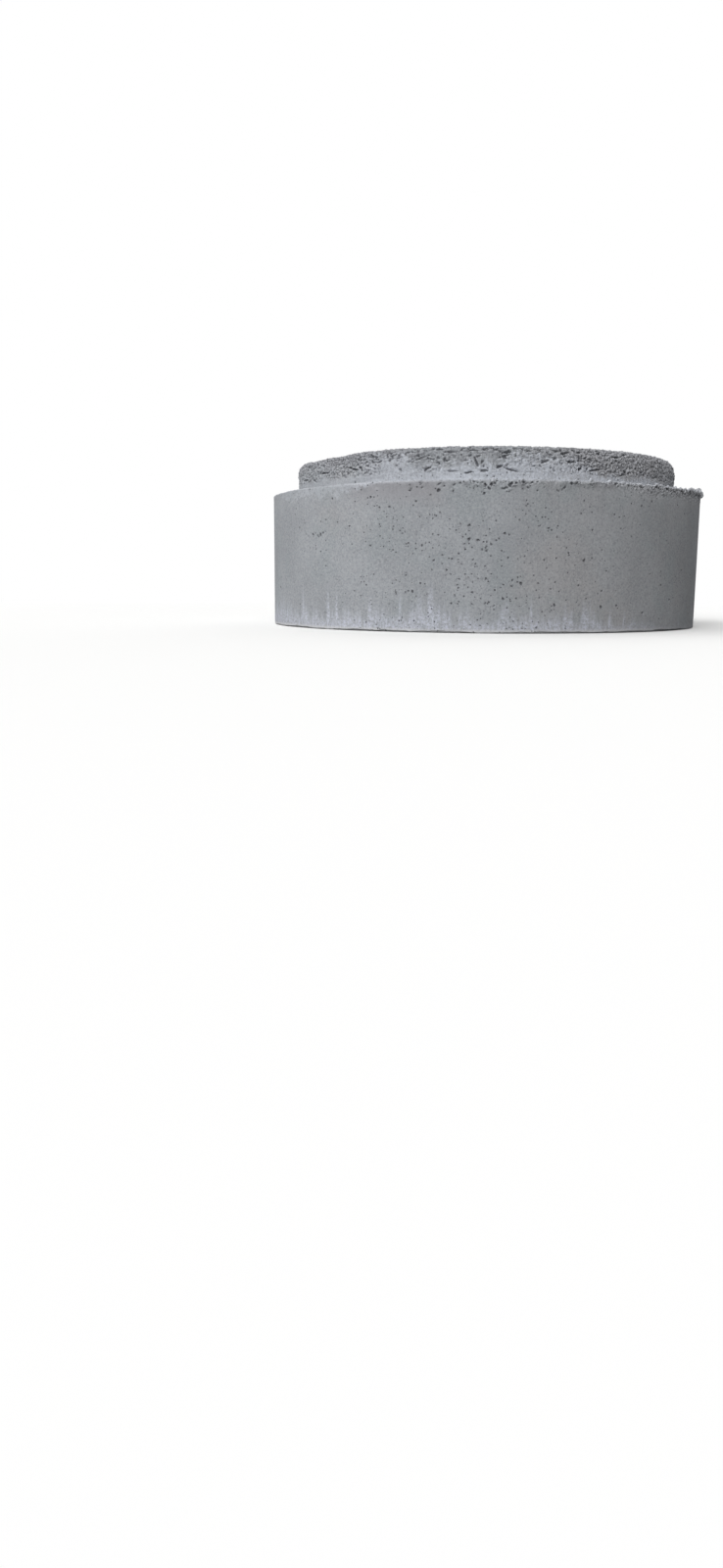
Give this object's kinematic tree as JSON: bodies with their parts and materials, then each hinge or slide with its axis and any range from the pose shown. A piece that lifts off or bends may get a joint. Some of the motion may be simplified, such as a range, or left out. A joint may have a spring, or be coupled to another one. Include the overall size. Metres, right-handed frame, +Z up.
{
  "type": "concrete culvert pipe",
  "caption": "Short round concrete pipe ring with a raised tongue on top and a matching groove below, stacked to make a culvert or shaft.",
  "frame": {"origin": "centre of the ring's underside, on the floor that it stands on", "axes": "+Z up along the bore, towards the tongue; the ring is round, so X and Y are any two level directions"},
  "size_m": [1.24, 1.2396, 0.458],
  "materials": {
    "concrete": "grey precast concrete, smooth from a steel mould on the outside, with small air holes, rough on the tongue"
  },
  "bodies": {
    "root": {"pipe_ring": "concrete"}
  },
  "joints": []
}
